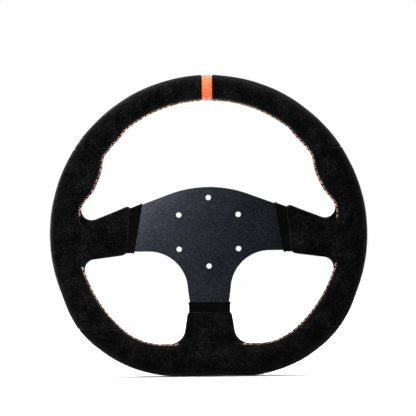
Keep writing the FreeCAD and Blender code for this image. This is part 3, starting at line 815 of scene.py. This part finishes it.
def panel_mesh(ends, rows, lift=0.0):
    """Closed shell of one rim panel. ends gives the first and last angle for any phase."""
    shares = panel_columns(PANEL_COLUMNS)
    s = np.linspace(0, 1, rows)
    s = s - 0.55 * np.sin(2 * math.pi * s) / (2 * math.pi)  # closer together towards both ends
    s, shares = np.meshgrid(s, shares, indexing="ij")
    angle = np.zeros_like(s)
    phase = SEAM_PHASE + 2 * math.pi * shares
    for _ in range(PHASE_ROUNDS):
        first, last = ends(phase)
        angle = first + s * (last - first)
        phase, hidden = phases_at(angle, shares)
    hidden &= in_opening(angle)
    share = np.ones_like(s)
    near = np.zeros(s.shape, bool)
    for name in OPENINGS:
        near |= opening_share(angle, name) > -3.0  # as far as the fillets reach
    near &= ~hidden
    share[near] = reach_padding(angle[near], phase[near])
    points = rim_point(angle, phase, share)
    middle, half = rim_section(angle)
    radius = np.hypot(half * np.cos(phase), HALF_DEPTH * np.sin(phase)) * share
    relief = seam_relief(angle, phase, radius) + padding_relief(points) + lift
    first, last = ends(phase)
    gap = np.minimum(np.abs(angle - first), np.abs(last - angle)) * middle
    relief = relief - PANEL_JOINT_DEPTH * bell(gap, PANEL_JOINT_HALF)
    relief = relief + PANEL_RIDGE * bell(gap - PANEL_RIDGE_AT, 1.2)
    relief = np.where(hidden, -TUCK * radius, relief)
    outer = points + rim_normal(angle, phase) * relief[..., None]
    inner_rows = np.linspace(rows - 1, 0, max(4, rows // 10)).astype(int)
    inner = rim_point(angle[inner_rows], phase[inner_rows], SUEDE_SHARE)
    ring = np.concatenate([outer, inner])
    quads = grid_quads(len(ring), PANEL_COLUMNS, True)
    return ring.reshape(-1, 3), quads


def at_height(z, side):
    """Angle at which the rim's surface crosses a horizontal plane, for any phase."""
    def cross(phase):
        angle = np.full(np.shape(phase), math.asin(z / 150.0))
        for _ in range(CROSSING_ROUNDS):
            middle, half = rim_section(angle)
            angle = np.arcsin(z / (middle + half * np.cos(phase)))
        return angle if side > 0 else math.pi - angle
    return cross


def at_marker(x):
    """Angle at which the rim's top crosses an upright plane."""
    def cross(phase):
        angle = np.full(np.shape(phase), math.pi / 2)
        for _ in range(CROSSING_ROUNDS):
            middle, half = rim_section(angle)
            angle = np.arccos(x / (middle + half * np.cos(phase)))
        return angle
    return cross


def between(first, last):
    """Ends of a panel, from the crossings at which it starts and stops."""
    return lambda phase: (first(phase), last(phase))


def bottom_ends(phase):
    """Ends of the bottom panel, which runs from the left seam through the bottom to the right one."""
    return at_height(LOW_SEAM_Z, -1)(phase) - 2 * math.pi, at_height(LOW_SEAM_Z, 1)(phase)


def build_rim():
    """Suede panels of the rim and its centre marker."""
    top_right, top_left = at_height(TOP_SEAM_Z, 1), at_height(TOP_SEAM_Z, -1)
    low_right, low_left = at_height(LOW_SEAM_Z, 1), at_height(LOW_SEAM_Z, -1)
    marker_right, marker_left = at_marker(MARKER_HALF), at_marker(-MARKER_HALF)
    panels = {
        "suede_top_right": (between(top_right, marker_right), TOP_ROWS),
        "suede_top_left": (between(marker_left, top_left), TOP_ROWS),
        "suede_side_right": (between(low_right, top_right), SIDE_ROWS),
        "suede_side_left": (between(top_left, low_left), SIDE_ROWS),
        "suede_bottom": (bottom_ends, BOTTOM_ROWS),
    }
    for name, (ends, rows) in panels.items():
        points, quads = panel_mesh(ends, rows)
        panel = make_piece("skin_" + name, points, quads, suede, [name])
    points, quads = panel_mesh(between(marker_right, marker_left), MARKER_ROWS, -MARKER_SINK)
    marker = make_piece(
        "skin_centre_marker", points, quads, marker_suede, ["centre_marker"]
    )


# ---------------------------------------------------------------- sleeves and lips on the spokes
def sleeve_distance(name):
    """Distance to one spoke's suede sleeve: the padded body inside the rim's opening."""
    def distance(points):
        x, y, z = points[..., 0], points[..., 1], points[..., 2]
        angle = np.arctan2(z, x)
        middle, half = rim_section(angle)
        u = (np.hypot(x, z) - middle) / half
        v = (y - MID_Y) / HALF_DEPTH
        phase = np.arctan2(v, u) % (2 * math.pi)
        radius = np.hypot(u * half, v * HALF_DEPTH)
        front = (phase - seam_phase(angle)) * radius
        rear = (seam_phase(angle) - opening_span(angle) - phase) * radius
        closed = -opening_share(angle, name) * 12.0
        edge = np.maximum(np.maximum(front, rear), closed)
        edge = np.minimum(edge, 9.0 - tube_distance(points))  # only near the rim
        core = (SUEDE_SHARE + 0.01 - np.hypot(u, v)) * half
        body = padded_distance(points) - padding_relief(points)
        body = body + groove_depth(angle) * (bell(front, SEAM_HALF) + bell(rear, SEAM_HALF))
        body = body - sleeve_relief(points, name)
        return np.maximum(np.maximum(body, edge), core)
    return distance


def crease(x, z, start, end, width):
    """Closeness to a line from start to end, 1 on it, fading past its ends."""
    dx, dz = end[0] - start[0], end[1] - start[1]
    length = math.hypot(dx, dz)
    along = ((x - start[0]) * dx + (z - start[1]) * dz) / length
    across = ((z - start[1]) * dx - (x - start[0]) * dz) / length
    fade = smooth_step(-3.0, 3.0, along) * smooth_step(-3.0, 3.0, length - along)
    return bell(across, width) * fade


def pucker(x, z, centre, reach):
    """Fan of small pleats round a point where the suede is gathered."""
    away = np.hypot(x - centre[0], z - centre[1])
    turn = np.arctan2(z - centre[1], x - centre[0])
    return np.cos(GATHER_PLEATS * turn) * bell(away, reach) * smooth_step(0.4, 2.5, away)


def sleeve_relief(points, name):
    """Creases and gathers of one sleeve, on the driver's side only."""
    x, y, z = points[..., 0], points[..., 1], points[..., 2]
    relief = GATHER_HEIGHT * pucker(x, z, *GATHERS[name])
    for depth, start, end, half in CREASES[name]:
        relief = relief - depth * crease(x, z, start, end, half)
    return smooth_step(0.0, 2.5, MID_Y - y) * relief


def side_band_distance(points):
    """Moulded lip of a side arm, with a small bead at its edge on the metal."""
    x, y, z = np.abs(points[..., 0]), points[..., 1], points[..., 2]
    metal = beside_line(x, z, BAND_METAL_LOW, BAND_METAL_TOP)
    bead = BEAD_HEIGHT * bell(metal + BEAD_HALF, BEAD_HALF)
    top = beside_line(x, z, BAND_METAL_TOP, BAND_OUTER_TOP) - bead
    low = beside_line(x, z, BAND_OUTER_LOW, BAND_METAL_LOW) - bead
    outer = beside_line(x, z, BAND_OUTER_TOP, BAND_OUTER_LOW)
    body = round_common(np.maximum(top, low), np.abs(y - MID_Y) - BAND_HALF - bead, BAND_EDGE_R)
    return round_common(body, np.maximum(metal, outer), BAND_END_R)


def bottom_band_distance(points):
    """Moulded lip of the bottom arm, whose bead stands out more at the sides."""
    x, y, z = np.abs(points[..., 0]), points[..., 1], points[..., 2]
    metal = z - bottom_band_high.z / MM
    bead = BEAD_HEIGHT * bell(metal + BEAD_HALF, BEAD_HALF)
    side = x - bottom_band_high.x / MM - 1.5 * bead
    body = round_common(side, np.abs(y - MID_Y) - BAND_HALF - bead, BAND_EDGE_R)
    return round_common(body, np.maximum(metal, bottom_band_low.z / MM - z), BAND_END_R)


def build_spokes():
    """Suede sleeves of the three spokes, and the lips at their ends."""
    for name, (low, high) in SLEEVE_BOXES.items():
        points, quads = surface_net(sleeve_distance(name), low, high, SLEEVE_STEP)
        sleeve = make_piece(
            "skin_cover_" + name, points, quads, suede, ["spoke_cover_" + name]
        )
    for name, (low, high) in BAND_BOXES.items():
        distance = bottom_band_distance if name == "bottom" else side_band_distance
        points, quads = surface_net(distance, low, high, BAND_STEP)
        make_piece("lip_" + name, points, quads, edge_lip, ["spoke_end_band_" + name])


# ---------------------------------------------------------------- cross stitches
def thread_tube(path):
    """Tube of thread along a smooth path of points. Its open ends lie inside the suede."""
    forward = np.gradient(path, axis=0)
    forward /= np.linalg.norm(forward, axis=1)[:, None]
    up = np.cross(forward, (0.31, 0.87, 0.38))  # a direction that no stitch runs along
    up /= np.linalg.norm(up, axis=1)[:, None]
    side = np.cross(forward, up)
    turn = np.linspace(0, 2 * math.pi, THREAD_SIDES, endpoint=False)
    thick = np.full(len(path), THREAD_R)
    thick[0] = thick[-1] = THREAD_R * 0.4
    ring = up[:, None] * np.cos(turn)[:, None] + side[:, None] * np.sin(turn)[:, None]
    points = path[:, None] + thick[:, None, None] * ring
    return points.reshape(-1, 3), grid_quads(len(path), THREAD_SIDES, False)


def seam_place(length, across, height):
    """Point beside the closing seam: length along it, distance across it, height off the suede."""
    angle = np.interp(length, seam_lengths, seam_angles)
    _, half = rim_section(angle)
    base = seam_phase(angle)
    radius = np.hypot(half * np.sin(base), HALF_DEPTH * np.cos(base))
    phase = base + across / radius
    points = rim_point(angle, phase, reach_padding(angle, phase))
    return points + rim_normal(angle, phase) * height[..., None]


def stitch_run(name, first_deg, last_deg, replaced):
    """Crossed threads along the seam between two angles."""
    first, last = along_seam(math.radians(first_deg)), along_seam(math.radians(last_deg))
    start = math.ceil(first / STITCH_PITCH)
    stop = math.floor(last / STITCH_PITCH)
    t = np.linspace(0, 1, STITCH_POINTS)
    arch = np.sin(math.pi * t) ** 0.5
    crossing = bell(t - 0.5, 0.22)
    points, quads, used = [], [], 0
    for k in range(start, stop):
        for direction, lift in zip((1, -1), STITCH_LIFTS):
            length = (k + STITCH_START + STITCH_LENGTH * t) * STITCH_PITCH
            across = direction * STITCH_REACH * (2 * t - 1)
            height = STITCH_ARCH * arch - STITCH_SINK + lift * crossing
            tube, faces = thread_tube(seam_place(length, across, height))
            points.append(tube)
            quads.append(faces + used)
            used += len(tube)
    make_piece(name, np.concatenate(points), np.concatenate(quads), thread, [replaced])


def build_stitches():
    """The three runs of stitches between the spokes."""
    for name, (first_deg, last_deg, replaced) in STITCH_RUNS.items():
        stitch_run(name, first_deg, last_deg, replaced)


# ---------------------------------------------------------------- stage, light and camera
def area_light(name, place, aim, size, power):
    """White soft box that the camera doesn't see."""
    lamp = bpy.data.lights.new(name, "AREA")
    lamp.shape = "RECTANGLE"
    lamp.size, lamp.size_y = size
    lamp.energy = power
    holder = bpy.data.objects.new(name, lamp)
    holder.location = place
    holder.visible_camera = False
    holder.rotation_mode = "QUATERNION"
    holder.rotation_quaternion = (Vector(aim) - Vector(place)).to_track_quat("-Z", "Y")
    bpy.context.scene.collection.objects.link(holder)


def build_floor():
    """Round white floor under the wheel."""
    mesh = bpy.data.meshes.new("floor")
    ring = []
    for turn in np.linspace(0, 2 * math.pi, FLOOR_SIDES, endpoint=False):
        x, y = FLOOR_REACH * math.cos(turn), FLOOR_REACH * math.sin(turn)
        ring.append((x, FLOOR_MIDDLE_Y + y, FLOOR_Z))
    mesh.from_pydata(ring, [], [tuple(range(FLOOR_SIDES))])
    floor = bpy.data.objects.new("floor", mesh)
    bpy.context.scene.collection.objects.link(floor)
    material, tree, shader, place = new_material("floor_white")
    cloud = noise_node(tree, place, 2.0, 2.0, 0.5)
    colour = ramp(tree, cloud, 0.3, 0.7, (0.70, 0.70, 0.70), (0.73, 0.73, 0.73))
    tree.links.new(colour, shader.inputs["Base Color"])
    shader.inputs["Roughness"].default_value = 0.9
    shader.inputs["Specular IOR Level"].default_value = 0.1
    mesh.materials.append(material)


def build_world():
    """White to the camera; to the wheel, a room that is brighter from above."""
    world = bpy.data.worlds.new("studio")
    world.use_nodes = True
    tree = world.node_tree
    direction = tree.nodes.new("ShaderNodeTexCoord").outputs["Generated"]
    split = tree.nodes.new("ShaderNodeSeparateXYZ")
    tree.links.new(direction, split.inputs["Vector"])
    room = tree.nodes.new("ShaderNodeMapRange")
    room.inputs["From Min"].default_value = -0.1
    room.inputs["From Max"].default_value = 0.9
    room.inputs["To Min"].default_value = LOW_ROOM_LIGHT
    room.inputs["To Max"].default_value = ROOM_LIGHT
    tree.links.new(split.outputs["Z"], room.inputs["Value"])
    path = tree.nodes.new("ShaderNodeLightPath")
    strength = tree.nodes.new("ShaderNodeMapRange")
    strength.inputs["To Max"].default_value = 1.0
    tree.links.new(room.outputs["Result"], strength.inputs["To Min"])
    tree.links.new(path.outputs["Is Camera Ray"], strength.inputs["Value"])
    background = tree.nodes["Background"]
    background.inputs["Color"].default_value = (1, 1, 1, 1)
    tree.links.new(strength.outputs["Result"], background.inputs["Strength"])
    bpy.context.scene.world = world


def build_stage():
    """Floor, world and soft boxes."""
    build_floor()
    build_world()
    bpy.context.scene.view_settings.view_transform = "Standard"
    for name, (place, aim, size, power) in LIGHTS.items():
        area_light(name, place, aim, size, power)


def build_camera():
    """Long lens, almost square to the plate, turned by the small roll at which the wheel stands."""
    right = Vector((math.cos(CAMERA_ROLL), 0, -math.sin(CAMERA_ROLL)))
    wheel_up = Vector((math.sin(CAMERA_ROLL), 0, math.cos(CAMERA_ROLL)))
    driver = Vector((0, -1, 0))
    back = driver * math.cos(CAMERA_TILT) + wheel_up * math.sin(CAMERA_TILT)
    up = wheel_up * math.cos(CAMERA_TILT) - driver * math.sin(CAMERA_TILT)
    camera = bpy.data.objects.new("camera", bpy.data.cameras.new("camera"))
    bpy.context.scene.collection.objects.link(camera)
    camera.data.sensor_width = SENSOR_WIDTH
    camera.data.lens = SENSOR_WIDTH * CAMERA_DISTANCE / FRAME_WIDTH
    camera.data.clip_end = 100.0
    place = right * AIM_RIGHT + up * AIM_UP + back * CAMERA_DISTANCE
    turn = Matrix((right, up, back)).transposed().to_4x4()
    camera.matrix_world = Matrix.Translation(place) @ turn
    bpy.context.scene.camera = camera


def paint_cad():
    """Finishes of the CAD pieces that stay as they are."""
    finishes = {
        "spoke_plate": plate_metal,
        "rim_hoop": frame_steel,
        "foam_padding": foam,
    }
    for spoke in ("left", "right", "bottom"):
        finishes["hoop_lug_" + spoke] = frame_steel
        finishes["lug_rivets_" + spoke] = rivet_steel
    for name, material in finishes.items():
        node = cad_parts[name]
        node.data.materials.clear()
        node.data.materials.append(material)


build_camera()
paint_cad()
build_rim()
build_spokes()
build_stitches()
build_stage()
